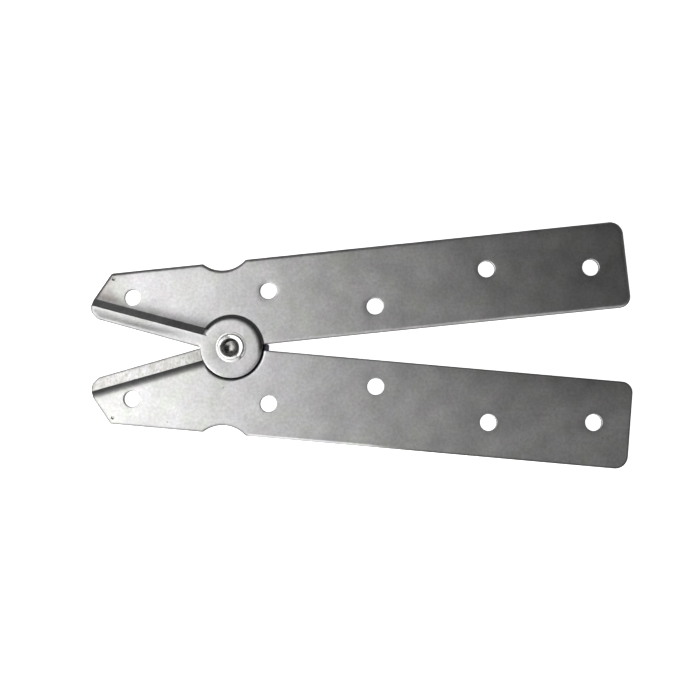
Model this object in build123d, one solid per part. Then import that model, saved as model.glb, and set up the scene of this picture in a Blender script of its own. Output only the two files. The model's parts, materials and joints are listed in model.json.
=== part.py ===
from build123d import *
import math
import os

# Riveted two-leaf strap hinge, in millimetres.
# The pivot axis is Z, through the origin. Z = 0 is the back plane of both straps, which lie in one plane.
# +X bisects the angle between the two straps at rest, and the upper leaf is on the +Y side.
#
# Both leaves are the same pressing. It is drawn in a leaf frame: X runs from the pivot to the long tail,
# Y from the inner edge to the outer edge, and Z up through the sheet. The lobe around the pivot and the
# strip along the nose are raised by half a sheet, so that two lobes stack while the straps stay level.

# Sheet and strap
SHEET = 2.5
AXIAL_GAP = 0.05
OFFSET = (SHEET + AXIAL_GAP) / 2
LOBE_TOP = OFFSET + SHEET
LEAF_WIDTH = 35.0
TAIL_LENGTH = 162.2
HALF_OPENING = 5.42

# Lobe: its free outline, and the circles that bound the pressed step above and below the sheet
LOBE_RADIUS = 12.4
BOSS_FLAT_RADIUS = 10.6
BOSS_FOOT_RADIUS = 13.2
POCKET_FLOOR_RADIUS = 12.75
POCKET_EDGE_RADIUS = 14.6

# Nose strip: lines that slope away from the strap, each at its own distance from the pivot
FREE_EDGE_SLOPE = 21.1
FREE_EDGE_DISTANCE = -3.3
WALL_SLOPE = 20.7
BOSS_WALL_TOP = 1.95
BOSS_WALL_FOOT = 4.7
POCKET_WALL_FLOOR = 1.75
POCKET_WALL_EDGE = 4.9
STRIP_REACH = 80.0

# Corners of the outline
NOSE_POINTS = [(-52.9, 16.9), (-55.2, 19.9), (-55.2, 22.6), (-53.9, 25.3)]
NOSE_CORNER = (-45.8, LEAF_WIDTH)
NOSE_ROUND = 2.4
NOSE_CORNER_ROUND = 1.2
TAIL_INNER_ROUND = 4.4
TAIL_OUTER_ROUND = 5.2
CROTCH_ROUND = 0.8

# Round notch in the outer edge, opposite the pivot
NOTCH_CENTRE = (0.35, 44.25)
NOTCH_RADIUS = 12.7
NOTCH_CORNER_ROUND = 1.0

# Screw holes, as places in the leaf frame
HOLE_RADIUS = 3.35
HOLE_PLACES = [(-38.2, 24.3), (17.0, 21.4), (59.4, 10.7), (105.7, 21.1), (147.6, 17.4)]

# Thin tab at the inner edge of the lower leaf, beside the lobe
TAB_REACH = 14.9
TAB_DEPTH = 2.7
TAB_THICKNESS = 1.15
TAB_ROUND = 0.8

# Pivot rivet
SHANK_RADIUS = 4.9
RUNNING_CLEARANCE = 0.06
HEAD_RADIUS = 9.0
HEAD_THICKNESS = 1.9
HEAD_ROUND = 0.9
LIP_RADIUS = 6.1
LIP_HEIGHT = 1.3
LIP_CREST_RADIUS = 4.5
BORE_RADIUS = 3.45
BORE_DEPTH = 5.6
BORE_POINT = 1.6


def vertices_near(shape, point, reach):
    """The vertices of a flat shape that lie within reach of a point."""
    x, y = point
    return [v for v in shape.vertices() if math.hypot(v.X - x, v.Y - y) < reach]


def free_edge_root():
    """Where the free edge of the nose strip meets the lobe circle."""
    turn = math.radians(FREE_EDGE_SLOPE)
    along = math.sqrt(LOBE_RADIUS**2 - FREE_EDGE_DISTANCE**2)
    x = FREE_EDGE_DISTANCE * math.sin(turn) - along * math.cos(turn)
    y = FREE_EDGE_DISTANCE * math.cos(turn) + along * math.sin(turn)
    return (x, y)


def strap_face():
    """The strap and nose in outline, with the nose and tail corners rounded."""
    tail_outer = (TAIL_LENGTH, LEAF_WIDTH)
    tail_inner = (TAIL_LENGTH, 0)
    points = [free_edge_root(), *NOSE_POINTS, NOSE_CORNER, tail_outer, tail_inner, (0, 0)]
    face = make_face(Polyline(*points, close=True))
    for point in NOSE_POINTS:
        face = fillet(vertices_near(face, point, 0.01), NOSE_ROUND)
    face = fillet(vertices_near(face, NOSE_CORNER, 0.01), NOSE_CORNER_ROUND)
    face = fillet(vertices_near(face, tail_outer, 0.01), TAIL_OUTER_ROUND)
    return fillet(vertices_near(face, tail_inner, 0.01), TAIL_INNER_ROUND)


def leaf_face():
    """The whole outline of a leaf, with the lobe added and the notch cut."""
    face = strap_face() + Circle(LOBE_RADIUS)
    face = fillet(vertices_near(face, free_edge_root(), 0.01), CROTCH_ROUND)
    face = face - Pos(*NOTCH_CENTRE) * Circle(NOTCH_RADIUS)
    half_mouth = math.sqrt(NOTCH_RADIUS**2 - (NOTCH_CENTRE[1] - LEAF_WIDTH) ** 2)
    for side in (-1, 1):
        mouth = (NOTCH_CENTRE[0] + side * half_mouth, LEAF_WIDTH)
        face = fillet(vertices_near(face, mouth, 0.01), NOTCH_CORNER_ROUND)
    return face


def rolled_section(inner, steep, flat):
    """A section whose outer side leaves its flat level smoothly and ends in a steep step."""
    inward = Vector(steep[0] - flat[0], 0).normalized()
    side = TangentArc(flat, steep, tangent=inward)
    rest = Polyline(steep, (inner, steep[1]), (inner, flat[1]), flat)
    return make_face(side + rest)


def sloped_section(inner, low, high):
    """A section whose outer side is one straight slope."""
    return make_face(Polyline((inner, low[1]), low, high, (inner, high[1]), close=True))


def around_pivot(section):
    """Turn a section into a round block about the pivot."""
    return revolve(Plane.XZ * section, Axis.Z)


def along_strip(section):
    """Run a section from the pivot along the nose strip."""
    turn = math.radians(WALL_SLOPE)
    across = (math.sin(turn), math.cos(turn), 0)
    towards_tail = (math.cos(turn), -math.sin(turn), 0)
    return extrude(Plane(origin=(0, 0, 0), x_dir=across, z_dir=towards_tail) * section, -STRIP_REACH)


def raised_space():
    """The space that the raised lobe and strip fill above the strap's face."""
    lobe = around_pivot(rolled_section(0, (BOSS_FOOT_RADIUS, SHEET), (BOSS_FLAT_RADIUS, LOBE_TOP)))
    strip = along_strip(sloped_section(-20, (BOSS_WALL_FOOT, SHEET), (BOSS_WALL_TOP, LOBE_TOP)))
    return lobe + strip


def sunk_space():
    """The hollow that the same step leaves in the strap's back."""
    lobe = around_pivot(rolled_section(0, (POCKET_FLOOR_RADIUS, OFFSET), (POCKET_EDGE_RADIUS, 0)))
    strip = along_strip(rolled_section(-20, (POCKET_WALL_FLOOR, OFFSET), (POCKET_WALL_EDGE, 0)))
    return lobe + strip


def pressed_leaf(pivot_hole_radius):
    """One leaf in its own frame, raised side up."""
    face = leaf_face()
    leaf = extrude(face, SHEET) + (extrude(face, LOBE_TOP) & raised_space())
    leaf = leaf - sunk_space()
    leaf = leaf - Cylinder(pivot_hole_radius, 4 * LOBE_TOP)
    for place in HOLE_PLACES:
        leaf = leaf - Pos(*place) * Cylinder(HOLE_RADIUS, 4 * LOBE_TOP)
    return leaf


def leaf_tab():
    """The thin tab beside the lobe, level with the lobe's raised face."""
    root = LOBE_RADIUS - 2
    tab = Rectangle(TAB_REACH - root, TAB_DEPTH, align=(Align.MIN, Align.MAX))
    tab = Pos(root, 0) * tab
    tab = fillet(vertices_near(tab, (TAB_REACH, -TAB_DEPTH), 0.01), TAB_ROUND)
    return Pos(0, 0, LOBE_TOP - TAB_THICKNESS) * extrude(tab, TAB_THICKNESS)


def upper_leaf():
    """The leaf with its raised side up, turned to its place beside the +X axis."""
    return Rot(0, 0, HALF_OPENING) * pressed_leaf(SHANK_RADIUS + RUNNING_CLEARANCE)


def lower_leaf():
    """The same pressing turned over, with the tab."""
    leaf = pressed_leaf(SHANK_RADIUS) + leaf_tab()
    return Rot(0, 0, -HALF_OPENING) * Pos(0, 0, SHEET) * Rot(180, 0, 0) * leaf


def pivot_rivet():
    """The rivet: head below the lower lobe, shank through both, rolled lip above the upper lobe."""
    under = SHEET - LOBE_TOP
    seat = LOBE_TOP + AXIAL_GAP
    crest = seat + LIP_HEIGHT
    floor = crest - BORE_DEPTH
    head = Polyline(
        (0, floor - BORE_POINT),
        (0, under - HEAD_THICKNESS),
        (HEAD_RADIUS - HEAD_ROUND, under - HEAD_THICKNESS),
    )
    head_side = TangentArc(head @ 1, (HEAD_RADIUS, under - HEAD_THICKNESS + HEAD_ROUND), tangent=(1, 0))
    shank = Polyline(
        head_side @ 1,
        (HEAD_RADIUS, under),
        (SHANK_RADIUS, under),
        (SHANK_RADIUS, seat),
        (LIP_RADIUS, seat),
    )
    lip_side = TangentArc((LIP_CREST_RADIUS, crest), (LIP_RADIUS, seat), tangent=(1, 0))
    lip_throat = TangentArc((LIP_CREST_RADIUS, crest), (BORE_RADIUS, seat), tangent=(-1, 0))
    bore = Polyline((BORE_RADIUS, seat), (BORE_RADIUS, floor), (0, floor - BORE_POINT))
    section = make_face(head + head_side + shank + lip_side + lip_throat + bore)
    return revolve(Plane.XZ * section, Axis.Z)


os.makedirs("parts", exist_ok=True)
export_step(lower_leaf(), "parts/lower_leaf.step")
export_step(upper_leaf(), "parts/upper_leaf.step")
export_step(pivot_rivet(), "parts/pivot_rivet.step")
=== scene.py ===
import json
import math

import bpy
import numpy as np
from mathutils import Matrix, Vector, noise
from mathutils.geometry import delaunay_2d_cdt


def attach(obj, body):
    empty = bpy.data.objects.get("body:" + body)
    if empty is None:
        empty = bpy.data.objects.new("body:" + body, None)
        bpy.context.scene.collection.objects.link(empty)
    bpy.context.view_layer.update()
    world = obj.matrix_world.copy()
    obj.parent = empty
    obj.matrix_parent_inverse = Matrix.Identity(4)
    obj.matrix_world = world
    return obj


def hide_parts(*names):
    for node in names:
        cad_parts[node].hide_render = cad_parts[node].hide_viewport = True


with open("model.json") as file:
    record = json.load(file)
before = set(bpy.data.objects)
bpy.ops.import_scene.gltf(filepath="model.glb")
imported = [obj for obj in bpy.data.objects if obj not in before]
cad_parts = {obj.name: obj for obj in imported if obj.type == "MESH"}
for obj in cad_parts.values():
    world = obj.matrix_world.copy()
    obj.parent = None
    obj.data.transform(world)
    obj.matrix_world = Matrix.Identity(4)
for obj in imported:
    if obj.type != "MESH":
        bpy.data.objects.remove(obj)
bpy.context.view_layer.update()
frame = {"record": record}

# The looks of the riveted strap hinge. Shapes are worked out in millimetres and become metres in each mesh.
# A leaf is drawn in its own frame: X runs from the pivot to the tail, Y from the inner edge to the outer
# edge, and Z up through the sheet towards the side that the press raised.
# A pair of limits is where a smooth step starts and where it is full.
MM = 0.001

# Sheet and strap
SHEET = 2.5
AXIAL_GAP = 0.05
OFFSET = (SHEET + AXIAL_GAP) / 2
LOBE_TOP = OFFSET + SHEET
LEAF_WIDTH = 35.0
TAIL_LENGTH = 162.2
HALF_OPENING = math.radians(5.42)

# Outline
LOBE_RADIUS = 12.4
FREE_EDGE_SLOPE = math.radians(21.1)
FREE_EDGE_DISTANCE = -3.3
NOSE_POINTS = [(-53.9, 25.3), (-55.2, 22.6), (-55.2, 19.9), (-52.9, 16.9)]
NOSE_CORNER = (-45.8, LEAF_WIDTH)
NOSE_ROUND = 2.4
NOSE_CORNER_ROUND = 1.2
TAIL_INNER_ROUND = 4.4
TAIL_OUTER_ROUND = 5.2
CROTCH_ROUND = 0.8
LOBE_JOIN_ROUND = 0.12
NOTCH_CENTRE = (0.35, 44.25)
NOTCH_RADIUS = 12.7
NOTCH_CORNER_ROUND = 1.0

# Pressed step of the lobe and the nose strip, above and below the sheet
BOSS_FLAT_RADIUS = 9.8
BOSS_FOOT_RADIUS = 13.2
BOSS_POWER = 3.4
FREE_SIDE_START = (-4, 24)
FREE_SIDE_END = (-180, -168)
FREE_SIDE_LOSS = 0.85
POCKET_FLOOR_RADIUS = 12.5
POCKET_EDGE_RADIUS = 14.9
POCKET_POWER = 6.0
WALL_SLOPE = math.radians(20.7)
BOSS_WALL_TOP = 1.8
BOSS_WALL_FOOT = 4.8
BOSS_WALL_FADE = 11.5
BOSS_WALL_FADE_POWER = 2.6
BOSS_WALL_REST = 0.26
POCKET_WALL_FLOOR = 1.75
POCKET_WALL_EDGE = 8.2
POCKET_WALL_LIP = 0.05
POCKET_WALL_LIP_WIDTH = 0.3
POCKET_WALL_POWER = 2.9
STRIP_CROWN = 0.33
STRIP_CROWN_ACROSS = (-2.9, 0.9)
STRIP_CROWN_ALONG = (12, 36)
STRIP_CROWN_END = 3.0
STRIP_NORMAL = np.array([math.sin(WALL_SLOPE), math.cos(WALL_SLOPE)])
STRIP_WAY = np.array([-math.cos(WALL_SLOPE), math.sin(WALL_SLOPE)])
TAIL_SIDE_GAIN = 4

# Edges: the press rolls them over on the raised side and leaves them nearly sharp on the sunk side
ROLL_WIDTH = 1.35
ROLL_HEIGHT = 0.42
ROLL_SLOPE_SHARE = 0.62
ROLL_SLOPE_POWER = 1.6
ROLL_UNEVENNESS = 0.25
ROLL_NOISE_SCALE = 0.21
LOBE_ROLL_LOSS = 0.85
STRIP_ROLL_LOSS = 0.6
STRIP_ROLL_ACROSS = (0, 3)
STRIP_ROLL_ALONG = (10, 14)
HOLE_ROLL_WIDTH = 0.34
HOLE_ROLL_HEIGHT = 0.12
HOLE_ROLL_ONSET = (-30, 0)
BURR_WIDTH = 0.25
BURR_HEIGHT = 0.14

# Bevel on the lower leaf's outer edge: whole beside the notch, worn off further on
BEVEL_WIDTH = 0.9
BEVEL_HEIGHT = 0.42
BEVEL_START = (8, 12)
BEVEL_END = (38, 84)
BEVEL_EDGE = (31, 33)
BEVEL_NICKS = 14
BEVEL_NICK_SCALE = 0.35

# Shallow streaks along the strip
STREAK_DEPTH = 0.06
STREAK_SCALES = (0.5, 0.04)
STREAK_ACROSS = (1.2, 1.7)
STREAK_ALONG = (10, 16)

# Small pit beside the nose corner
PIT_CENTRE = (-45.2, 32.6)
PIT_RADIUS = 0.75
PIT_DEPTH = 0.45

# Screw holes and the pivot
HOLE_RADIUS = 3.35
PIVOT_HOLE_UPPER = 4.96
PIVOT_HOLE_LOWER = 4.9

# Tab
TAB_REACH = 14.9
TAB_DEPTH = 2.7
TAB_THICKNESS = 1.15
TAB_ROUND = 0.8
TAB_FLARE = 0.5
TAB_LAP = 2

# Rows of mesh points: distances from the edges, radii round the lobe and distances across the strip
RIM_RINGS = [0.02, 0.06, 0.13, 0.21, 0.3, 0.45, 0.67, 0.9, 1.12, 1.35]
HOLE_RINGS = [0.02, 0.06, 0.12, 0.2, 0.27, 0.34]
HOLE_SIDES = 48
PIT_RINGS = [0.35, 0.7, 1.0]
PIT_SIDES = 16
LOBE_RINGS = [9.8, 10.5, 11.1, 11.65, 12.0, 12.3, 12.5, 12.7, 12.95, 13.2, 13.5, 13.9, 14.4, 14.9]
LOBE_RING_BEARINGS = (-8, 186)
LOBE_RING_POINTS = 97
STRIP_LINES = [-2.6, -2.0, -1.4, -0.8, -0.2, 0.4, 1.0, 1.4, 1.65, 1.75, 1.8, 1.9, 2.1, 2.5]
STRIP_LINES += [3.0, 3.5, 4.1, 4.7, 4.8, 4.95, 5.5, 6.2, 7.0, 8.2]
STRIP_LINE_ENDS = (9, 62)
STRIP_LINE_POINTS = 60
GRID_CORNERS = ((-58, -14), (166, 38))
GRID_STEP = 2.4
GRID_ROW_SHARE = 0.866
BEND_CORNERS = ((-15, 3), (-6, 12))
BEND_STEP = 0.4
GRID_EDGE_CLEARANCE = 1.8
GRID_HOLE_CLEARANCE = 1.3
GRID_LOBE_GAP = (9.2, 15.8)
GRID_STRIP_GAP = 9.6
STRAIGHT_STEP = 1.5
ARC_STEP = 0.6
ARC_STEP_DEGREES = (2.5, 9.0)
FAR_AWAY = 1e9
SHARP_ANGLE = math.radians(22)

# Where shade is painted into the surface, where the rims are polished and where the strip is stained, as
# masks from 0 to 1
NOSE_SIDE = (6, 9)
RIM_REACH = 0.6
# Painted shade: a dark line along the outline, a fainter one along the bevel, and a dark ring round each hole
OUTLINE_DARKNESS = 0.95
OUTLINE_REACH = 0.5
OUTLINE_ONSET = (12.5, 13)
BEVEL_OUTLINE_DARKNESS = 0.5
BEVEL_OUTLINE_REACH = 0.2
HOLE_DARKNESS = 0.5
HOLE_DARK_REACH = 0.18
STRIP_EDGE = (1.5, 2.0)
# Painted shade of the lower leaf: a dark ring round the lobe, the wall below the strip, the tail end and the
# nose end
LOWER_LOBE_SHADE = ((11.9, 12.2), (12.6, 13.25))
LOWER_WALL = ((1.7, 1.8), (1.9, 5.4))
LOWER_WALL_DARKNESS = 0.75
LOWER_NOSE_SHADE = 0.35
LOWER_NOSE_SHADE_ONSET = (38, 54)
LOWER_TAIL_SHADE = 0.42
LOWER_TAIL_ALONG = (30, 160)
LOWER_TAIL_ACROSS = (-6, 18)
# Painted shade of the upper leaf: a dark ring at the boss's foot, the strip's wall and the flat below it, the
# strip in streaks, the tail end and the nose end
UPPER_BOSS_SHADE = ((10.9, 12.2), (13.2, 13.5))
UPPER_BOSS_SHADE_SIDE = (-4, -1)
UPPER_BOSS_SHADE_STRIP = (-4.6, -3.6)
UPPER_WALL = ((1.75, 1.82), (4.72, 4.9))
UPPER_WALL_DARKNESS = 0.68
UPPER_FOOT = ((4.7, 4.9), (4.9, 9.5))
UPPER_FOOT_DARKNESS = 0.4
UPPER_SHADE_RADIUS = 12.6
UPPER_STRIP_SHADE = 0.17
UPPER_STRIP_SHADE_STREAKS = 0.16
UPPER_STRIP_SCALES = (1.1, 0.05)
UPPER_STRIP_ACROSS = (1.3, 1.7)
UPPER_STRIP_ALONG = (13, 24)
UPPER_NOSE_SHADE_ONSET = (34, 50)
UPPER_NOSE_SHADE_ACROSS = (4.8, 6)
UPPER_TAIL_SHADE = 0.36
UPPER_TAIL_ALONG = (80, 165)


def turned(x, y, angle):
    """A point turned about the origin."""
    return (x * math.cos(angle) - y * math.sin(angle), x * math.sin(angle) + y * math.cos(angle))


def corner_arc(before, point, after, radius):
    """The arc that rounds a corner where the outline turns left: centre, radius, first and last angle."""
    sides = [(point[0] - before[0], point[1] - before[1]), (after[0] - point[0], after[1] - point[1])]
    angles = [math.atan2(-dx, dy) for dx, dy in sides]
    normals = [(math.cos(a), math.sin(a)) for a in angles]
    share = radius / (1 + normals[0][0] * normals[1][0] + normals[0][1] * normals[1][1])
    centre = (
        point[0] - share * (normals[0][0] + normals[1][0]),
        point[1] - share * (normals[0][1] + normals[1][1]),
    )
    first, last = math.degrees(angles[0]), math.degrees(angles[1])
    return (centre, radius, first, last if last > first else last + 360)


def outline_arcs():
    """The arcs of a leaf's outline in order. One that turns clockwise is a hollow in the outline."""
    join = math.degrees(math.asin(LOBE_JOIN_ROUND / (LOBE_RADIUS + LOBE_JOIN_ROUND)))
    join_centre = ((LOBE_RADIUS + LOBE_JOIN_ROUND) * math.cos(math.radians(join)), -LOBE_JOIN_ROUND)
    inner_x = TAIL_LENGTH - TAIL_INNER_ROUND
    outer_x = TAIL_LENGTH - TAIL_OUTER_ROUND
    mouth_y = LEAF_WIDTH - NOTCH_CORNER_ROUND
    mouth_rise = NOTCH_CENTRE[1] - mouth_y
    mouth_half = math.sqrt((NOTCH_RADIUS + NOTCH_CORNER_ROUND) ** 2 - mouth_rise**2)
    mouth_angle = math.degrees(math.atan2(mouth_rise, mouth_half))
    edge_normal = (math.sin(FREE_EDGE_SLOPE), math.cos(FREE_EDGE_SLOPE))
    crotch_across = FREE_EDGE_DISTANCE - CROTCH_ROUND
    crotch_along = math.sqrt((LOBE_RADIUS + CROTCH_ROUND) ** 2 - crotch_across**2)
    crotch_centre = (
        crotch_across * edge_normal[0] - crotch_along * edge_normal[1],
        crotch_across * edge_normal[1] + crotch_along * edge_normal[0],
    )
    crotch_start = math.degrees(math.atan2(edge_normal[1], edge_normal[0]))
    crotch_end = math.degrees(math.atan2(-crotch_centre[1], -crotch_centre[0]))
    root = tuple(centre + CROTCH_ROUND * way for centre, way in zip(crotch_centre, edge_normal))
    corners = [(NOTCH_CENTRE[0], LEAF_WIDTH), NOSE_CORNER, *NOSE_POINTS, root]
    rounds = [NOSE_CORNER_ROUND] + [NOSE_ROUND] * len(NOSE_POINTS)
    nose = [corner_arc(*corners[i : i + 3], rounds[i]) for i in range(len(rounds))]
    return [
        (join_centre, LOBE_JOIN_ROUND, 180 - join, 90),
        ((inner_x, TAIL_INNER_ROUND), TAIL_INNER_ROUND, -90, 0),
        ((outer_x, LEAF_WIDTH - TAIL_OUTER_ROUND), TAIL_OUTER_ROUND, 0, 90),
        ((NOTCH_CENTRE[0] + mouth_half, mouth_y), NOTCH_CORNER_ROUND, 90, 180 - mouth_angle),
        (NOTCH_CENTRE, NOTCH_RADIUS, -mouth_angle, mouth_angle - 180),
        ((NOTCH_CENTRE[0] - mouth_half, mouth_y), NOTCH_CORNER_ROUND, mouth_angle, 90),
        *nose,
        (crotch_centre, CROTCH_ROUND, crotch_start, crotch_end),
        ((0, 0), LOBE_RADIUS, 180 + crotch_end, 360 - join),
    ]


def outline(arcs):
    """Points round a closed outline of arcs and the straight lines between them, and the way out at each."""
    points = []
    outward = []
    for centre, radius, first, last in arcs:
        hollow = last < first
        step = min(max(math.degrees(ARC_STEP / radius), ARC_STEP_DEGREES[0]), ARC_STEP_DEGREES[1])
        arc = np.radians(np.linspace(first, last, max(3, math.ceil(abs(last - first) / step) + 1)))
        ring = np.stack([np.cos(arc), np.sin(arc)], 1)
        start = np.array(centre) + radius * ring
        way = -ring if hollow else ring
        if points:
            gap = start[0] - points[-1][-1]
            count = max(1, math.ceil(np.hypot(*gap) / STRAIGHT_STEP))
            share = np.arange(1, count)[:, None] / count
            points.append(points[-1][-1] + share * gap)
            outward.append(np.repeat(way[:1], count - 1, 0))
        points.append(start)
        outward.append(way)
    return np.concatenate(points), np.concatenate(outward)


def circle(centre, radius, count, first=0.0, last=360.0):
    """Points on a circle, or on part of one."""
    closed = last - first == 360
    angle = np.radians(np.linspace(first, last, count, endpoint=not closed))
    return np.array(centre) + radius * np.stack([np.cos(angle), np.sin(angle)], 1)


def hex_grid(low, high, step):
    """Points on a grid of triangles that covers a rectangle."""
    rows = []
    for i, y in enumerate(np.arange(low[1], high[1], step * GRID_ROW_SHARE)):
        x = np.arange(low[0] + (i % 2) * step / 2, high[0], step)
        rows.append(np.stack([x, np.full_like(x, y)], 1))
    return np.concatenate(rows)


def inside(points, loop):
    """Which points lie inside a closed loop."""
    a, b = loop, np.roll(loop, -1, 0)
    result = np.zeros(len(points), bool)
    for (ax, ay), (bx, by) in zip(a, b):
        crosses = (ay > points[:, 1]) != (by > points[:, 1])
        if by != ay:
            at = ax + (points[:, 1] - ay) * (bx - ax) / (by - ay)
            result ^= crosses & (points[:, 0] < at)
    return result


def distance_to_loop(points, loop):
    """How far each point is from a closed loop."""
    best = np.full(len(points), FAR_AWAY)
    for a, b in zip(loop, np.roll(loop, -1, 0)):
        side = b - a
        share = np.clip(((points - a) @ side) / max(side @ side, 1e-12), 0, 1)
        best = np.minimum(best, np.hypot(*(points - a - share[:, None] * side).T))
    return best


def distance_to_holes(points, holes):
    """How far each point is from the nearest hole's edge."""
    best = np.full(len(points), FAR_AWAY)
    for centre, radius in holes:
        best = np.minimum(best, np.abs(np.hypot(*(points - centre).T) - radius))
    return best


def smooth_step(x, low, high):
    """0 below low, 1 above high and a smooth curve between."""
    t = np.clip((x - low) / (high - low), 0, 1)
    return t * t * (3 - 2 * t)


def band(x, start, end):
    """1 between the limits of a start and an end, and a smooth curve to 0 over each of them."""
    return smooth_step(x, *start) * (1 - smooth_step(x, *end))


def wave(u, v, seed):
    """Smooth noise at each pair of values."""
    return np.array([noise.noise(Vector((a, b, seed))) for a, b in zip(u, v)])


def roll_drop(distance, width, height):
    """How far a rolled edge has dropped at a distance from the outline."""
    share = np.clip(1 - distance / width, 0, 1)
    slope = ROLL_SLOPE_SHARE * share**ROLL_SLOPE_POWER
    return height * (slope + (1 - ROLL_SLOPE_SHARE) * (1 - np.sqrt(1 - share**2)))


def curved_fall(run, reach, power):
    """How far a shoulder falls: smoothly at first, then to a crisp foot at reach and straight on past it."""
    curve = (np.clip(run, 0, reach) / reach) ** power
    return OFFSET * (curve + power / reach * np.clip(run - reach, 0, None))


def strip_distance(points):
    """Distance from the strip's own line through the pivot, kept large on the tail side."""
    return points @ STRIP_NORMAL + TAIL_SIDE_GAIN * np.clip(-(points @ STRIP_WAY), 0, None)


def raised_height(points):
    """How far the raised side stands above the strap's face."""
    radius = np.hypot(*points.T)
    bearing = np.degrees(np.arctan2(points[:, 1], points[:, 0]))
    lobe_fall = curved_fall(radius - BOSS_FLAT_RADIUS, BOSS_FOOT_RADIUS - BOSS_FLAT_RADIUS, BOSS_POWER)
    free_side = smooth_step(-bearing, *FREE_SIDE_START) * smooth_step(bearing, *FREE_SIDE_END)
    lobe_fall = lobe_fall * (1 - FREE_SIDE_LOSS * free_side)
    across = strip_distance(points)
    run = (BOSS_WALL_FOOT - across) / (BOSS_WALL_FOOT - BOSS_WALL_TOP)
    wall = BOSS_WALL_REST + (OFFSET - BOSS_WALL_REST) * run
    fade = np.clip((BOSS_WALL_FADE - across) / (BOSS_WALL_FADE - BOSS_WALL_FOOT), 0, 1)
    foot = BOSS_WALL_REST * fade**BOSS_WALL_FADE_POWER
    strip = np.where(across < BOSS_WALL_FOOT, wall, foot)
    return np.clip(np.maximum(OFFSET - lobe_fall, strip), 0, OFFSET)


def sunk_height(points):
    """How far the sunk side lies below the strap's back face, as a height above it."""
    radius = np.hypot(*points.T)
    lobe = curved_fall(POCKET_EDGE_RADIUS - radius, POCKET_EDGE_RADIUS - POCKET_FLOOR_RADIUS, POCKET_POWER)
    across = strip_distance(points)
    share = np.clip((POCKET_WALL_EDGE - across) / (POCKET_WALL_EDGE - POCKET_WALL_FLOOR), 0, 1)
    strip = (OFFSET - POCKET_WALL_LIP) * share**POCKET_WALL_POWER
    lip = (POCKET_WALL_FLOOR + POCKET_WALL_LIP_WIDTH - across) / POCKET_WALL_LIP_WIDTH
    strip += POCKET_WALL_LIP * np.clip(lip, 0, 1)
    return np.clip(np.maximum(np.where(radius < POCKET_EDGE_RADIUS, lobe, 0), strip), 0, OFFSET)


def strip_crown(points):
    """How far the raised strip's face dips towards the bend, so that it leans a little."""
    across = strip_distance(points)
    lean = smooth_step(across, *STRIP_CROWN_ACROSS) * smooth_step(points @ STRIP_WAY, *STRIP_CROWN_ALONG)
    return STRIP_CROWN * lean * np.clip((BOSS_WALL_FOOT - across) / STRIP_CROWN_END, 0, 1)


def streaks(points, seed):
    """Shallow drawn-out waves that the press left along the strip."""
    across = strip_distance(points)
    along = points @ STRIP_WAY
    depth = STREAK_DEPTH * wave(across * STREAK_SCALES[0], along * STREAK_SCALES[1], seed)
    return depth * (1 - smooth_step(across, *STREAK_ACROSS)) * smooth_step(along, *STREAK_ALONG)


def bevel_share(points, seed):
    """How much of the bevel is left at each point near the outer edge, with an uneven end."""
    x, y = points.T
    nicks = BEVEL_NICKS * wave(BEVEL_NICK_SCALE * x, 0 * x, seed + 9)
    left = smooth_step(x, *BEVEL_START) * (1 - smooth_step(x + nicks, *BEVEL_END))
    return left * smooth_step(y, *BEVEL_EDGE)


def edge_roll(points, seed):
    """How deep the rolled edge is at each point: uneven, and weak on the lobe and the strip."""
    x, y = points.T
    roll = ROLL_HEIGHT * (1 + ROLL_UNEVENNESS * wave(x * ROLL_NOISE_SCALE, y * ROLL_NOISE_SCALE, seed))
    roll *= 1 - LOBE_ROLL_LOSS * (1 - smooth_step(np.hypot(x, y), LOBE_RADIUS, BOSS_FOOT_RADIUS))
    near_strip = 1 - smooth_step(strip_distance(points), *STRIP_ROLL_ACROSS)
    return roll * (1 - STRIP_ROLL_LOSS * near_strip * smooth_step(-x, *STRIP_ROLL_ALONG))


def hole_places():
    """The screw holes in the leaf frame, from the record's mounts on the upper leaf."""
    places = []
    for mount in frame["record"]["mounts"]:
        if mount["kind"] == "bore" and mount["name"].startswith("upper"):
            x, y = mount["pos_m"][0] / MM, mount["pos_m"][1] / MM
            places.append(turned(x, y, -HALF_OPENING))
    return places


def mesh_rows(edge, outward, holes):
    """Closed loops and open lines of points that the mesh follows along its edges and bends."""
    loops = [edge] + [edge - depth * outward for depth in RIM_RINGS]
    for centre, radius in holes:
        loops += [circle(centre, radius + depth, HOLE_SIDES) for depth in [0, *HOLE_RINGS]]
    loops += [circle(PIT_CENTRE, PIT_RADIUS * share, PIT_SIDES) for share in PIT_RINGS]
    lines = [circle((0, 0), radius, LOBE_RING_POINTS, *LOBE_RING_BEARINGS) for radius in LOBE_RINGS]
    along = np.linspace(*STRIP_LINE_ENDS, STRIP_LINE_POINTS)[:, None]
    lines += [distance * STRIP_NORMAL + along * STRIP_WAY for distance in STRIP_LINES]
    return loops, lines


def loose_points(edge, holes):
    """Points that fill the flat parts, clear of the rows, and a fine patch where the strip meets the lobe."""
    grid = hex_grid(*GRID_CORNERS, GRID_STEP)
    radius = np.hypot(*grid.T)
    clear = distance_to_loop(grid, edge) > GRID_EDGE_CLEARANCE
    clear &= inside(grid, edge)
    clear &= ~((radius > GRID_LOBE_GAP[0]) & (radius < GRID_LOBE_GAP[1]))
    clear &= ~((strip_distance(grid) < GRID_STRIP_GAP) & (grid[:, 0] < 0))
    for centre, hole_radius in holes:
        clear &= np.hypot(*(grid - centre).T) > hole_radius + GRID_HOLE_CLEARANCE
    return [*grid[clear], *hex_grid(*BEND_CORNERS, BEND_STEP), np.array(PIT_CENTRE)]


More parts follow.
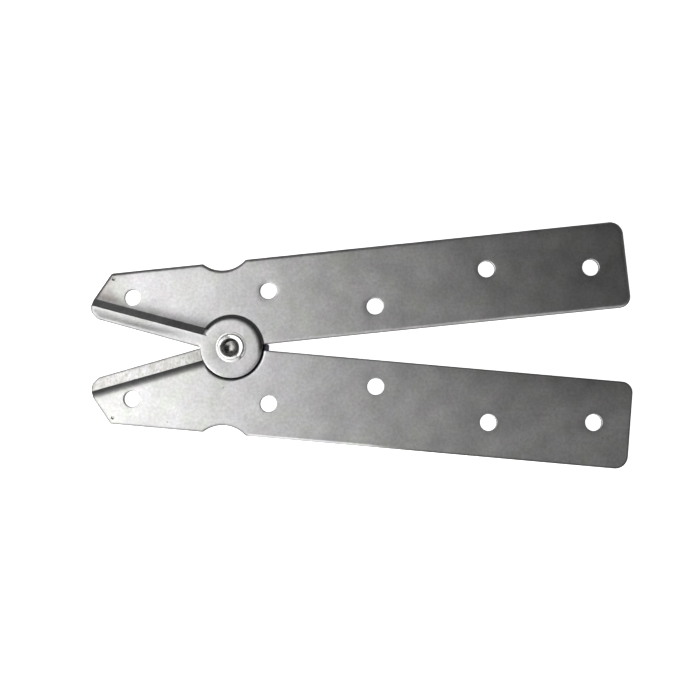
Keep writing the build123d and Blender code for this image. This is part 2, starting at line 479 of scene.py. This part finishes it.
def flat_triangles(loops, lines, extra, boundary, holes):
    """Points and triangles that fill a flat outline with holes, and keep every loop and line as edges."""
    points = []
    edges = []
    for loop in loops:
        base = len(points)
        points.extend(loop)
        edges.extend((base + i, base + (i + 1) % len(loop)) for i in range(len(loop)))
    for line in lines:
        base = len(points)
        points.extend(line)
        edges.extend((base + i, base + i + 1) for i in range(len(line) - 1))
    points.extend(extra)
    flat, _, faces, *_ = delaunay_2d_cdt([Vector(p) for p in points], edges, [], 0, 1e-4)
    flat = np.array([tuple(p) for p in flat])
    faces = np.array(faces)
    centres = flat[faces].mean(1)
    keep = inside(centres, boundary)
    for centre, radius in holes:
        keep &= np.hypot(*(centres - centre).T) > radius
    faces = faces[keep]
    used, faces = np.unique(faces, return_inverse=True)
    return flat[used], faces.reshape(-1, 3)


def solid_mesh(name, points, faces, top, bottom):
    """A closed mesh between a top and a bottom height. Its walls have material 1."""
    count = len(points)
    sides = np.concatenate([faces[:, [0, 1]], faces[:, [1, 2]], faces[:, [2, 0]]])
    known = {tuple(side) for side in sides}
    walls = [(a, b) for a, b in map(tuple, sides) if (b, a) not in known]
    vertices = np.concatenate([np.column_stack([points, top]), np.column_stack([points, bottom])])
    polygons = [tuple(f) for f in faces]
    polygons += [(f[0] + count, f[2] + count, f[1] + count) for f in faces]
    polygons += [(b, a, a + count, b + count) for a, b in walls]
    mesh = bpy.data.meshes.new(name)
    mesh.from_pydata([tuple(v) for v in vertices], [], [tuple(int(i) for i in f) for f in polygons])
    material_index = np.zeros(len(polygons), np.int32)
    material_index[2 * len(faces) :] = 1
    mesh.polygons.foreach_set("material_index", material_index)
    return mesh


def set_attribute(mesh, name, values):
    """Store one number for each vertex."""
    attribute = mesh.attributes.new(name, "FLOAT", "POINT")
    attribute.data.foreach_set("value", np.asarray(values, np.float32))


def lower_masks(points, edge_distance, seed):
    """Painted shade of the lower leaf, which shows its sunk side: bends and tail, outline, and nose end."""
    x, y = points.T
    radius = np.hypot(x, y)
    across = strip_distance(points)
    # Painted shade on the wall below the strip and in a ring round the lobe
    wall = LOWER_WALL_DARKNESS * band(across, *LOWER_WALL) * smooth_step(-x, *NOSE_SIDE)
    painted_shade = np.maximum(band(radius, *LOWER_LOBE_SHADE), wall)
    # Painted shade towards the tail, along the inner edge
    tail = LOWER_TAIL_SHADE * smooth_step(x, *LOWER_TAIL_ALONG)
    painted_shade = np.maximum(painted_shade, tail * (1 - smooth_step(y, *LOWER_TAIL_ACROSS)))
    bevel = bevel_share(points, seed)
    # Painted shade: a dark line along the outline, fainter where the bevel is
    line = OUTLINE_DARKNESS * np.exp(-((edge_distance / OUTLINE_REACH) ** 2)) * (1 - bevel)
    line += BEVEL_OUTLINE_DARKNESS * bevel * np.exp(-((edge_distance / BEVEL_OUTLINE_REACH) ** 2))
    # Painted shade towards the nose end
    nose_shade = LOWER_NOSE_SHADE * smooth_step(-x, *LOWER_NOSE_SHADE_ONSET)
    return painted_shade, line, nose_shade


def upper_masks(points, edge_distance, seed):
    """Painted shade of the upper leaf, which shows its raised side: bends, strip and tail, outline, and nose
    end.
    """
    x, y = points.T
    radius = np.hypot(x, y)
    across = strip_distance(points)
    along = points @ STRIP_WAY
    nose = smooth_step(-x, *NOSE_SIDE)
    # Painted shade in a ring at the boss's foot, and on the strip's wall and the flat below it
    painted_shade = band(radius, *UPPER_BOSS_SHADE) * smooth_step(y, *UPPER_BOSS_SHADE_SIDE)
    painted_shade *= 1 - smooth_step(-across, *UPPER_BOSS_SHADE_STRIP) * nose
    shade = UPPER_WALL_DARKNESS * band(across, *UPPER_WALL) * nose
    shade = np.maximum(shade, UPPER_FOOT_DARKNESS * band(across, *UPPER_FOOT) * nose)
    # Painted shade on the strip, uneven in streaks along it
    strip_shade = UPPER_STRIP_SHADE + UPPER_STRIP_SHADE_STREAKS * wave(
        across * UPPER_STRIP_SCALES[0], along * UPPER_STRIP_SCALES[1], seed + 5
    )
    strip_shade *= (1 - smooth_step(across, *UPPER_STRIP_ACROSS)) * smooth_step(along, *UPPER_STRIP_ALONG)
    shade = np.where(radius > UPPER_SHADE_RADIUS, np.maximum(shade, strip_shade), 0)
    painted_shade = np.maximum(painted_shade, shade)
    # Painted shade towards the tail
    painted_shade = np.maximum(painted_shade, UPPER_TAIL_SHADE * smooth_step(x, *UPPER_TAIL_ALONG))
    # Painted shade: a dark line along the outline
    line = OUTLINE_DARKNESS * np.exp(-((edge_distance / OUTLINE_REACH) ** 2))
    # Painted shade towards the nose end, away from the strip
    nose_shade = smooth_step(-x, *UPPER_NOSE_SHADE_ONSET) * smooth_step(across, *UPPER_NOSE_SHADE_ACROSS)
    return painted_shade, line, nose_shade


def leaf_mesh(name, pivot_radius, sunk_side_up, seed):
    """One pressed leaf in its own frame."""
    edge, outward = outline(outline_arcs())
    holes = [(np.array(place), HOLE_RADIUS) for place in hole_places()]
    holes.append((np.zeros(2), pivot_radius))
    points, faces = flat_triangles(*mesh_rows(edge, outward, holes), loose_points(edge, holes), edge, holes)
    edge_distance = distance_to_loop(points, edge)
    hole_distance = distance_to_holes(points, holes)
    any_distance = np.minimum(edge_distance, hole_distance)

    top = SHEET + raised_height(points) - roll_drop(edge_distance, ROLL_WIDTH, edge_roll(points, seed))
    hole_roll = HOLE_ROLL_HEIGHT * smooth_step(points[:, 0], *HOLE_ROLL_ONSET)
    top -= roll_drop(hole_distance, HOLE_ROLL_WIDTH, hole_roll) + strip_crown(points)
    bottom = sunk_height(points) + roll_drop(any_distance, BURR_WIDTH, BURR_HEIGHT)
    pit = PIT_DEPTH * np.sqrt(np.clip(1 - np.hypot(*(points - PIT_CENTRE).T) / PIT_RADIUS, 0, 1))
    if sunk_side_up:
        bevel = BEVEL_HEIGHT * bevel_share(points, seed)
        bottom += pit + bevel * np.clip(1 - edge_distance / BEVEL_WIDTH, 0, 1)
    else:
        top -= pit
    top += streaks(points, seed)
    bottom += streaks(points, seed + 3)
    mesh = solid_mesh(name, points, faces, top, bottom)

    masks = lower_masks if sunk_side_up else upper_masks
    painted_shade, line, nose_shade = masks(points, edge_distance, seed)
    # Painted shade: a dark ring round each hole and a dark line along the outline
    painted_shade = np.maximum(painted_shade, HOLE_DARKNESS * np.exp(-hole_distance / HOLE_DARK_REACH))
    painted_shade = np.maximum(painted_shade, line * smooth_step(np.hypot(*points.T), *OUTLINE_ONSET))
    rim = np.exp(-any_distance / RIM_REACH)
    strip = (1 - smooth_step(strip_distance(points), *STRIP_EDGE)) * smooth_step(-points[:, 0], *NOSE_SIDE)
    for mask, values in (("rim", rim), ("painted_shade", painted_shade), ("nose_shade", nose_shade), ("strip", strip)):
        set_attribute(mesh, mask, np.concatenate([values, values]))
    return mesh


def tab_mesh(name):
    """The thin tab beside the lobe, in the leaf frame."""
    root = LOBE_RADIUS - TAB_LAP
    corner = TAB_REACH - TAB_ROUND
    loop = [(root, -TAB_DEPTH)]
    loop += [tuple(p) for p in circle((corner, TAB_ROUND - TAB_DEPTH), TAB_ROUND, 7, -90, 0)]
    loop += [tuple(p) for p in circle((TAB_REACH + TAB_FLARE, -TAB_FLARE), TAB_FLARE, 5, 180, 90)]
    loop += [(root, 0)]
    low, high = LOBE_TOP - TAB_THICKNESS, LOBE_TOP
    count = len(loop)
    vertices = [(x, y, high) for x, y in loop] + [(x, y, low) for x, y in loop]
    faces = [tuple(range(count)), tuple(range(2 * count - 1, count - 1, -1))]
    faces += [(j, i, i + count, j + count) for i, j in ((i, (i + 1) % count) for i in range(count))]
    mesh = bpy.data.meshes.new(name)
    mesh.from_pydata(vertices, [], faces)
    return mesh


# ---------------------------------------------------------------------------- rivet

HEAD_RADIUS = 9.0
HEAD_THICKNESS = 1.9
HEAD_ROUND = 0.9
SHANK_RADIUS = 4.9
LIP_RADIUS = 6.15
LIP_SEAT = LOBE_TOP + AXIAL_GAP
LIP_CREST = LIP_SEAT + 1.3
BORE_RADIUS = 3.45
BORE_FLOOR = LIP_CREST - 5.6
BORE_POINT = 1.6
BORE_BOWL = 0.08
BORE_LEAN = 0.14
BORE_SHIFT = (-0.42, -0.12)
UNDER = SHEET - LOBE_TOP

# The rolled lip, from its rim to the bore: radius, heights above the seat on its left cone, its right ring
# and its upper left land, and share of the bore's shift
LIP_ROWS = [
    (LIP_RADIUS, 0.0, 0.0, 0.0, 0.0), (6.13, 0.1, 0.1, 0.1, 0.0), (6.05, 0.2, 0.18, 0.18, 0.03),
    (5.9, 0.26, 0.19, 0.19, 0.06), (5.65, 0.31, 0.19, 0.19, 0.1), (5.42, 0.37, 0.2, 0.2, 0.15),
    (5.34, 0.42, 0.28, 0.24, 0.2), (5.28, 0.48, 0.6, 0.3, 0.25), (5.2, 0.58, 0.95, 0.45, 0.3),
    (5.08, 0.78, 1.16, 0.8, 0.35), (4.9, 0.96, 1.25, 1.06, 0.45), (4.6, 1.07, 1.2, 1.12, 0.6),
    (4.3, 1.17, 1.13, 1.17, 0.8), (4.05, 1.25, 1.05, 1.21, 1.0), (3.85, 1.2, 0.95, 1.24, 1.0),
    (3.68, 1.05, 0.82, 1.1, 1.0), (3.55, 0.8, 0.65, 0.8, 1.0), (BORE_RADIUS, 0.4, 0.4, 0.4, 1.0),
]
RING_MIDDLE = math.radians(62)
RING_LIMITS = (-0.48, -0.2)
LAND_START = (84, 106)
LAND_END = (160, 176)
LIP_WOBBLE = 0.05
LIP_WOBBLE_PHASES = (0.8, 2.4)
LIP_INNER_RADIUS = 3.8
BORE_MOUTH_RADIUS = 3.6
BORE_BOWL_RADIUS = 3.2
# Painted shade in the bore starts at this height above the lip's seat and is full a millimetre lower
BORE_SHADE_HEIGHT = 0.75
RIVET_SIDES = 120


def rivet_profile():
    """Radius, height on the cone, ring and land, and share of the bore's shift, from the head to the bore."""
    bottom = UNDER - HEAD_THICKNESS
    turn = HEAD_RADIUS - HEAD_ROUND
    head = [(0, bottom + 0.02), (3, bottom + 0.02), (6, bottom), (turn - 0.05, bottom + 0.02)]
    for angle in (math.radians(a) for a in (20, 40, 60, 80)):
        head.append((turn + HEAD_ROUND * math.sin(angle), bottom + HEAD_ROUND - HEAD_ROUND * math.cos(angle)))
    head += [(HEAD_RADIUS, bottom + 1.2), (HEAD_RADIUS, UNDER - 0.25), (HEAD_RADIUS - 0.12, UNDER - 0.05)]
    head += [(HEAD_RADIUS - 0.4, UNDER), (SHANK_RADIUS, UNDER), (SHANK_RADIUS, 0)]
    head += [(SHANK_RADIUS, LIP_SEAT - 0.05), (SHANK_RADIUS + 0.1, LIP_SEAT)]
    profile = [(r, z, z, z, 0) for r, z in head]
    profile += [(r, *(LIP_SEAT + height for height in heights), s) for r, *heights, s in LIP_ROWS]
    bore = [(BORE_RADIUS, 2.0), (BORE_RADIUS, BORE_FLOOR + 0.25), (BORE_RADIUS - 0.1, BORE_FLOOR)]
    bore += [(r, BORE_FLOOR - BORE_POINT + BORE_BOWL * r**2) for r in (3.0, 2.5, 2.0, 1.5, 1.1, 0.7, 0.35, 0)]
    return profile + [(r, z, z, z, 1.0) for r, z in bore]


def turned_faces(rows, count):
    """Faces of a turned shape whose first and last rows are single points on the axis."""
    faces = [(0, 1 + (i + 1) % count, 1 + i) for i in range(count)]
    for first in range(1, 1 + (rows - 3) * count, count):
        faces += [
            (first + i, first + (i + 1) % count, first + count + (i + 1) % count, first + count + i)
            for i in range(count)
        ]
    first = 1 + (rows - 3) * count
    return faces + [(first + i, first + (i + 1) % count, first + count) for i in range(count)]


def rivet_mesh(name):
    """The rivet, with the bore a little off the middle and a lip that changes round the axis."""
    profile = rivet_profile()
    vertices = []
    bore_shades = []
    for radius, cone, ring, land, shift in profile:
        for step in range(RIVET_SIDES if radius else 1):
            angle = 2 * math.pi * step / RIVET_SIDES
            height = cone + (ring - cone) * smooth_step(math.cos(angle - RING_MIDDLE), *RING_LIMITS)
            height += (land - height) * band(math.degrees(angle), LAND_START, LAND_END)
            if height < BORE_FLOOR and radius < BORE_BOWL_RADIUS and shift:
                height += BORE_LEAN * radius * math.cos(angle)
            # Painted shade: a mask that darkens the bore the deeper it goes
            in_bore = shift and radius < BORE_MOUTH_RADIUS
            bore_shades.append(LIP_SEAT + BORE_SHADE_HEIGHT - height if in_bore else 0)
            r = radius
            if LIP_SEAT < height and radius > LIP_INNER_RADIUS:
                r += LIP_WOBBLE * math.sin(angle * 3 + LIP_WOBBLE_PHASES[0])
                r += LIP_WOBBLE * math.cos(angle - LIP_WOBBLE_PHASES[1])
            x = r * math.cos(angle) + shift * BORE_SHIFT[0]
            y = r * math.sin(angle) + shift * BORE_SHIFT[1]
            vertices.append((x, y, height))
    mesh = bpy.data.meshes.new(name)
    mesh.from_pydata(vertices, [], turned_faces(len(profile), RIVET_SIDES))
    set_attribute(mesh, "bore", np.clip(np.array(bore_shades, float), 0, 1))
    return mesh


# ---------------------------------------------------------------------------- materials

WHITE = (1, 1, 1, 1)
# Painted shade: the near-black colour that the sheet's shade mask mixes towards, and how far
PAINTED_SHADE_COLOUR = (0.02, 0.02, 0.022, 1)
PAINTED_SHADE_STRENGTH = 0.9
# Painted shade in the bore: the colour it mixes towards, and how far
BORE_SHADE_COLOUR = (0.3, 0.29, 0.28, 1)
BORE_SHADE_STRENGTH = 0.85
GRAIN_ROUGHNESS = 0.05
BLOTCH_ROUGHNESS = 0.04
RIM_POLISH = 0.04
CUT_ROUGHNESS = 0.2
SCUFF_ROUGHNESS = 0.16
BORE_POLISH = 0.05


def new_material(name):
    """An empty node material: the material, its tree and its Principled shader."""
    material = bpy.data.materials.new(name)
    material.use_nodes = True
    tree = material.node_tree
    return material, tree, tree.nodes["Principled BSDF"]


def add(tree, kind, links=(), settings=(), **values):
    """A node with its settings, socket values and incoming links."""
    made = tree.nodes.new(kind)
    for key, value in dict(settings).items():
        setattr(made, key, value)
    for key, value in values.items():
        made.inputs[key.replace("_", " ")].default_value = value
    for key, source in dict(links).items():
        tree.links.new(source, made.inputs[key])
    return made


def feed(tree, sockets, values):
    """Give each socket its value: a link from another socket, or a fixed number or colour."""
    for socket, value in zip(sockets, values):
        if isinstance(value, bpy.types.NodeSocket):
            tree.links.new(value, socket)
        else:
            socket.default_value = value


def ramp(tree, source, stops):
    """A colour ramp with the given stops of position and colour."""
    made = tree.nodes.new("ShaderNodeValToRGB")
    elements = made.color_ramp.elements
    while len(elements) < len(stops):
        elements.new(0.5)
    for element, (position, colour) in zip(elements, stops):
        element.position = position
        element.color = colour
    tree.links.new(source, made.inputs["Fac"])
    return made.outputs["Color"]


def mix_colour(tree, share, first, second, blend="MIX"):
    """A colour mixed from two sources or fixed colours."""
    made = add(tree, "ShaderNodeMix", settings={"data_type": "RGBA", "blend_type": blend})
    feed(tree, [made.inputs[0], made.inputs[6], made.inputs[7]], (share, first, second))
    return made.outputs[2]


def maths(tree, operation, *values):
    """A number worked out from sources or fixed numbers."""
    made = add(tree, "ShaderNodeMath", settings={"operation": operation})
    feed(tree, made.inputs, values)
    return made.outputs[0]


def spread(tree, source, width, middle):
    """A noise source's number, spread over a width about a middle."""
    return maths(tree, "MULTIPLY_ADD", source, width, middle - width / 2)


def mask_of(tree, name):
    """A number stored on the mesh."""
    return add(tree, "ShaderNodeAttribute", settings={"attribute_name": name}).outputs["Fac"]


def noise_at(tree, coordinates, scale, detail=2.0, stretch=None, rough=0.5):
    """Noise of a scale in cycles per metre, drawn out along an axis if asked."""
    source = coordinates
    if stretch:
        source = add(tree, "ShaderNodeMapping", links={"Vector": coordinates}, Scale=stretch).outputs[0]
    values = {"Scale": scale, "Detail": detail, "Roughness": rough}
    return add(tree, "ShaderNodeTexNoise", links={"Vector": source}, **values).outputs["Fac"]


def grey(value):
    """A neutral colour."""
    return (value, value, value, 1)


def tone(base, red, green=None, blue=None):
    """The base colour times one share, or times its own share in each channel."""
    return (base[0] * red, base[1] * (green or red), base[2] * (blue or red), 1)


def finish_material(tree, shader, colour, rough, normal):
    """Link a metal's colour, roughness and bump to its shader."""
    tree.links.new(colour, shader.inputs["Base Color"])
    tree.links.new(rough, shader.inputs["Roughness"])
    tree.links.new(normal, shader.inputs["Normal"])
    shader.inputs["Metallic"].default_value = 1.0


def worn_strip_colour(tree, place, base, colour):
    """Brown stains and dark ticks on the strip."""
    strip = mask_of(tree, "strip")
    ticks = noise_at(tree, place, scale=850, detail=4, stretch=(1.3, 0.7, 1), rough=0.7)
    ticks = maths(tree, "MULTIPLY", ramp(tree, ticks, [(0.5, grey(0)), (0.68, grey(1))]), strip)
    stains = noise_at(tree, place, scale=300, detail=3, rough=0.6)
    stains = maths(tree, "MULTIPLY", ramp(tree, stains, [(0.46, grey(0)), (0.66, grey(0.6))]), strip)
    colour = mix_colour(tree, stains, colour, tone(base, 0.6, 0.59, 0.52))
    return mix_colour(tree, ticks, colour, tone(base, 0.5, 0.49, 0.43))


def steel_sheet(name, base, roughness, worn_strip):
    """Cold-rolled sheet: mottling, fine grain, specks, painted shade from its masks and polish on the rims.
    """
    material, tree, shader = new_material(name)
    place = tree.nodes.new("ShaderNodeTexCoord").outputs["Object"]
    blotch = noise_at(tree, place, scale=110, detail=4, rough=0.6)
    tint = noise_at(tree, place, scale=160, detail=3)
    patch = noise_at(tree, place, scale=60, detail=2)
    grain = noise_at(tree, place, scale=900, detail=4, rough=0.6)
    mottle = noise_at(tree, place, scale=800, detail=3, rough=0.7)
    cross = noise_at(tree, place, scale=420, detail=3, stretch=(2.2, 0.35, 1))
    specks = noise_at(tree, place, scale=520, detail=2)

    colour = ramp(tree, blotch, [(0.32, tone(base, 0.88)), (0.68, tone(base, 1.08))])
    fine = ramp(tree, mottle, [(0.3, grey(0.84)), (0.7, grey(1.1))])
    warm = ramp(tree, tint, [(0.36, (0.965, 0.985, 0.935, 1)), (0.5, WHITE), (0.64, (1.0, 0.97, 0.975, 1))])
    cool = ramp(tree, patch, [(0.4, WHITE), (0.62, (0.955, 0.95, 0.98, 1))])
    for layer in (fine, warm, cool):
        colour = mix_colour(tree, 1.0, colour, layer, "MULTIPLY")
    speck_mask = ramp(tree, specks, [(0.745, grey(0)), (0.79, grey(0.8))])
    colour = mix_colour(tree, speck_mask, colour, tone(base, 0.5))
    if worn_strip:
        colour = worn_strip_colour(tree, place, base, colour)
    # Painted shade towards the nose end, uneven and brownish
    uneven = ramp(tree, tint, [(0.3, grey(0.2)), (0.6, grey(0.75))])
    nose_shade = maths(tree, "MULTIPLY", mask_of(tree, "nose_shade"), uneven)
    colour = mix_colour(tree, nose_shade, colour, tone(base, 0.42, 0.38, 0.33))
    # Painted shade in the bends, under the strip, round the holes, along the outline and towards the tails
    painted_shade = maths(tree, "MULTIPLY", mask_of(tree, "painted_shade"), PAINTED_SHADE_STRENGTH)
    colour = mix_colour(tree, painted_shade, colour, PAINTED_SHADE_COLOUR)

    rough = spread(tree, grain, GRAIN_ROUGHNESS, roughness)
    rough = maths(tree, "ADD", rough, spread(tree, blotch, BLOTCH_ROUGHNESS, 0))
    rough = maths(tree, "SUBTRACT", rough, maths(tree, "MULTIPLY", mask_of(tree, "rim"), RIM_POLISH))
    bump = add(tree, "ShaderNodeBump", links={"Height": grain}, Strength=0.10, Distance=0.0001)
    under = {"Height": cross, "Normal": bump.outputs[0]}
    bump = add(tree, "ShaderNodeBump", links=under, Strength=0.10, Distance=0.0001)
    finish_material(tree, shader, colour, rough, bump.outputs[0])
    return material


def sheared_steel(name, base, roughness):
    """The cut wall of the sheet: rough, with fine marks through the thickness; its dark base is painted
    shade.
    """
    material, tree, shader = new_material(name)
    place = tree.nodes.new("ShaderNodeTexCoord").outputs["Object"]
    marks = noise_at(tree, place, scale=1500, detail=3, stretch=(1, 1, 0.12))
    patches = noise_at(tree, place, scale=180, detail=2)
    colour = ramp(tree, marks, [(0.3, tone(base, 0.7)), (0.7, tone(base, 1))])
    rough = spread(tree, patches, CUT_ROUGHNESS, roughness)
    bump = add(tree, "ShaderNodeBump", links={"Height": marks}, Strength=0.3, Distance=0.0002)
    finish_material(tree, shader, colour, rough, bump.outputs[0])
    return material


def rivet_steel(name, base, roughness):
    """Plated steel formed under a turning tool: rings round the axis, small scuffs and painted shade in the
    bore.
    """
    material, tree, shader = new_material(name)
    place = tree.nodes.new("ShaderNodeTexCoord").outputs["Object"]
    split = add(tree, "ShaderNodeSeparateXYZ", links={"Vector": place}).outputs
    squares = [maths(tree, "MULTIPLY", split[axis], split[axis]) for axis in ("X", "Y")]
    radius = maths(tree, "SQRT", maths(tree, "ADD", *squares))
    round_axis = add(tree, "ShaderNodeCombineXYZ", links={"X": radius, "Z": split["Z"]}).outputs[0]
    rings = noise_at(tree, round_axis, scale=2600, detail=3)
    scuffs = noise_at(tree, place, scale=500, detail=3)
    bore = mask_of(tree, "bore")
    colour = ramp(tree, scuffs, [(0.35, tone(base, 0.85)), (0.6, tone(base, 1))])
    # Painted shade in the bore; the same mask also lowers the roughness there
    colour = mix_colour(tree, maths(tree, "MULTIPLY", bore, BORE_SHADE_STRENGTH), colour, BORE_SHADE_COLOUR)
    rough = spread(tree, scuffs, SCUFF_ROUGHNESS, roughness)
    rough = maths(tree, "SUBTRACT", rough, maths(tree, "MULTIPLY", bore, BORE_POLISH))
    bump = add(tree, "ShaderNodeBump", links={"Height": rings}, Strength=0.15, Distance=0.0002)
    finish_material(tree, shader, colour, rough, bump.outputs[0])
    return material


# ---------------------------------------------------------------------------- pieces

LEAF_BASE = (0.60, 0.60, 0.595)
LEAF_ROUGHNESS = 0.37
# Painted shade: the cut walls and the tab get dark base colours
CUT_SHADE_BASE = (0.1, 0.1, 0.1)
TAB_SHADE_BASE = (0.1, 0.085, 0.115)
WALL_ROUGHNESS = 0.42
RIVET_BASE = (0.72, 0.72, 0.71)
RIVET_ROUGHNESS = 0.3


def finish_piece(mesh, materials, place):
    """Turn a mesh in millimetres into a shown object in its place."""
    for material in materials:
        mesh.materials.append(material)
    mesh.transform(Matrix.Scale(MM, 4) @ place)
    mesh.polygons.foreach_set("use_smooth", [True] * len(mesh.polygons))
    mesh.update()
    mesh.set_sharp_from_angle(angle=SHARP_ANGLE)
    piece = bpy.data.objects.new(mesh.name, mesh)
    bpy.context.scene.collection.objects.link(piece)
    return piece


upper_sheet = steel_sheet("upper_sheet", LEAF_BASE, LEAF_ROUGHNESS, worn_strip=False)
lower_sheet = steel_sheet("lower_sheet", LEAF_BASE, LEAF_ROUGHNESS, worn_strip=True)
shaded_cut_wall = sheared_steel("shaded_cut_wall", CUT_SHADE_BASE, WALL_ROUGHNESS)
tab_shade_wall = sheared_steel("tab_shade_wall", TAB_SHADE_BASE, WALL_ROUGHNESS)
rivet_finish = rivet_steel("rivet_finish", RIVET_BASE, RIVET_ROUGHNESS)

# The lower leaf is the same pressing turned over, so its sunk side shows.
upper_place = Matrix.Rotation(HALF_OPENING, 4, "Z")
lower_place = (
    Matrix.Rotation(-HALF_OPENING, 4, "Z")
    @ Matrix.Translation((0, 0, SHEET))
    @ Matrix.Rotation(math.pi, 4, "X")
)

upper_mesh = leaf_mesh("upper_leaf_sheet", PIVOT_HOLE_UPPER, sunk_side_up=False, seed=1.0)
upper = finish_piece(upper_mesh, [upper_sheet, shaded_cut_wall], upper_place)
lower_mesh = leaf_mesh("lower_leaf_sheet", PIVOT_HOLE_LOWER, sunk_side_up=True, seed=7.0)
lower = finish_piece(lower_mesh, [lower_sheet, shaded_cut_wall], lower_place)
# The tab's dark purple-grey material is painted shade
tab = finish_piece(tab_mesh("lower_leaf_tab"), [tab_shade_wall], lower_place)
rivet = finish_piece(rivet_mesh("formed_rivet"), [rivet_finish], Matrix.Identity(4))

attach(upper, "upper_leaf")
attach(lower, "lower_leaf")
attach(tab, "lower_leaf")
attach(rivet, "lower_leaf")
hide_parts("upper_leaf")
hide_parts("lower_leaf")
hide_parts("pivot_rivet")

# ---------------------------------------------------------------------------- studio

FLOOR_LEVEL = (UNDER - HEAD_THICKNESS) * MM
FLOOR_REACH = 3.0
FLOOR_GLOW = 0.85
BACKDROP_HEIGHT = 4.0
BACKDROP_GLOW = 0.95
STAGE_GREY = grey(0.85)
WORLD_STRENGTH = 0.025
CORNERS = ((-1, -1), (1, -1), (1, 1), (-1, 1))


def stage_piece(name, heights, faces, glow, roughness, specular):
    """A plain white stage object with the studio's four corners at each height."""
    mesh = bpy.data.meshes.new(name)
    mesh.from_pydata([(x * FLOOR_REACH, y * FLOOR_REACH, z) for z in heights for x, y in CORNERS], [], faces)
    paint, _, shader = new_material(name + "_paint")
    shader.inputs["Base Color"].default_value = STAGE_GREY
    shader.inputs["Roughness"].default_value = roughness
    shader.inputs["Specular IOR Level"].default_value = specular
    shader.inputs["Emission Color"].default_value = WHITE
    shader.inputs["Emission Strength"].default_value = glow
    mesh.materials.append(paint)
    piece = bpy.data.objects.new(name, mesh)
    bpy.context.scene.collection.objects.link(piece)
    return piece


floor = stage_piece("floor", [FLOOR_LEVEL], [(0, 1, 2, 3)], FLOOR_GLOW, roughness=0.9, specular=0.0)

# White walls round the floor's edge, for the low views. They are seen, and light nothing.
wall_faces = [(i, (i + 1) % 4, (i + 1) % 4 + 4, i + 4) for i in range(4)]
wall_heights = [FLOOR_LEVEL, BACKDROP_HEIGHT]
backdrop = stage_piece("backdrop", wall_heights, wall_faces, BACKDROP_GLOW, roughness=0.5, specular=0.5)
backdrop.visible_diffuse = False
backdrop.visible_glossy = False
backdrop.visible_shadow = False

world = bpy.data.worlds.new("studio")
world.use_nodes = True
world.node_tree.nodes["Background"].inputs["Color"].default_value = WHITE
world.node_tree.nodes["Background"].inputs["Strength"].default_value = WORLD_STRENGTH
bpy.context.scene.world = world

# The panel's inner edge crosses above the hinge; its line runs from the back left to the front right.
# The far part is dimmer, so that it doesn't wash out the low views.
PANEL_HEIGHT = 1.0
PANEL_BEARING = math.radians(172.7)
PANEL_EDGE = 0.167
PANEL_REACH = 0.6
PANEL_FAR_REACH = 1.0
PANEL_FRONT = 1.6
PANEL_BACK = 0.3
PANEL_RADIANCE = 3.15
PANEL_FAR_RADIANCE = 1.3

# Name, centre, point that it faces, width, length and radiance
SOFTBOXES = [
    ("front_right", (0.35, -0.98, 1.0), (0.35, -0.98, 0), 1.3, 1.06, 1.5),
    ("left_wall", (-1.6, -0.5, 0.5), (0, -0.5, 0.5), 2.4, 1.0, 1.1),
    ("front_wall", (-0.4, -1.7, 0.5), (-0.4, 0, 0.5), 2.2, 1.0, 1.1),
    ("back_wall", (0, 1.8, 0.4), (0, 0, 0.4), 4.8, 0.8, 0.6),
    ("right_wall", (1.9, 0, 0.4), (0, 0, 0.4), 4.0, 0.8, 0.6),
    ("back_high", (0, 1.8, 1.35), (0, 0, 0.4), 4.8, 1.1, 0.15),
    ("right_high", (1.9, 0, 1.35), (0, 0, 0.4), 4.0, 1.1, 0.15),
]


def softbox(name, centre, towards, turn, width, length, radiance):
    """A rectangular area light of a given radiance."""
    light = bpy.data.lights.new(name, "AREA")
    light.shape = "RECTANGLE"
    light.size = width
    light.size_y = length
    light.energy = radiance * math.pi * width * length
    lamp = bpy.data.objects.new(name, light)
    way = (Vector(towards) - Vector(centre)).normalized().to_track_quat("-Z", "Y").to_matrix().to_4x4()
    lamp.matrix_world = Matrix.Translation(centre) @ way @ Matrix.Rotation(turn, 4, "Z")
    lamp.visible_camera = False
    bpy.context.scene.collection.objects.link(lamp)


def panel(name, edge, reach, radiance):
    """A strip of the overhead panel, from a distance to the left of the origin."""
    middle = edge + reach / 2
    forward = (PANEL_FRONT - PANEL_BACK) / 2
    across = Vector((math.cos(PANEL_BEARING), math.sin(PANEL_BEARING), 0))
    along = Vector((-math.sin(PANEL_BEARING), math.cos(PANEL_BEARING), 0))
    centre = middle * across + forward * along + Vector((0, 0, PANEL_HEIGHT))
    below = (centre[0], centre[1], 0)
    softbox(name, centre, below, PANEL_BEARING, reach, PANEL_FRONT + PANEL_BACK, radiance)


panel("panel", PANEL_EDGE, PANEL_REACH, PANEL_RADIANCE)
panel("panel_far", PANEL_EDGE + PANEL_REACH, PANEL_FAR_REACH, PANEL_FAR_RADIANCE)
for box_name, centre, towards, width, length, radiance in SOFTBOXES:
    softbox(box_name, centre, towards, 0, width, length, radiance)

# The camera looks at a point on the hinge from half a metre above it.
VIEW_TARGET = Vector((0.04788, -0.00126, 0.0))
VIEW_OFFSET = Vector((0.01057, -0.03498, 0.49997))
VIEW_TILT = 0.0697
VIEW_ROLL = math.radians(0.4245)
VIEW_LENS = 63.58
SENSOR_WIDTH = 36.0

camera_data = bpy.data.cameras.new("camera")
camera_data.lens = VIEW_LENS
camera_data.sensor_width = SENSOR_WIDTH
camera = bpy.data.objects.new("camera", camera_data)
bpy.context.scene.collection.objects.link(camera)
back = VIEW_OFFSET.normalized()
level = math.cos(VIEW_TILT)
up_hint = Vector((math.sin(VIEW_ROLL) * level, math.cos(VIEW_ROLL) * level, math.sin(VIEW_TILT)))
right = up_hint.cross(back).normalized()
up = back.cross(right)
facing = Matrix((right, up, back)).transposed().to_4x4()
camera.matrix_world = Matrix.Translation(VIEW_TARGET + VIEW_OFFSET) @ facing
bpy.context.scene.camera = camera
bpy.context.scene.view_settings.view_transform = "Standard"
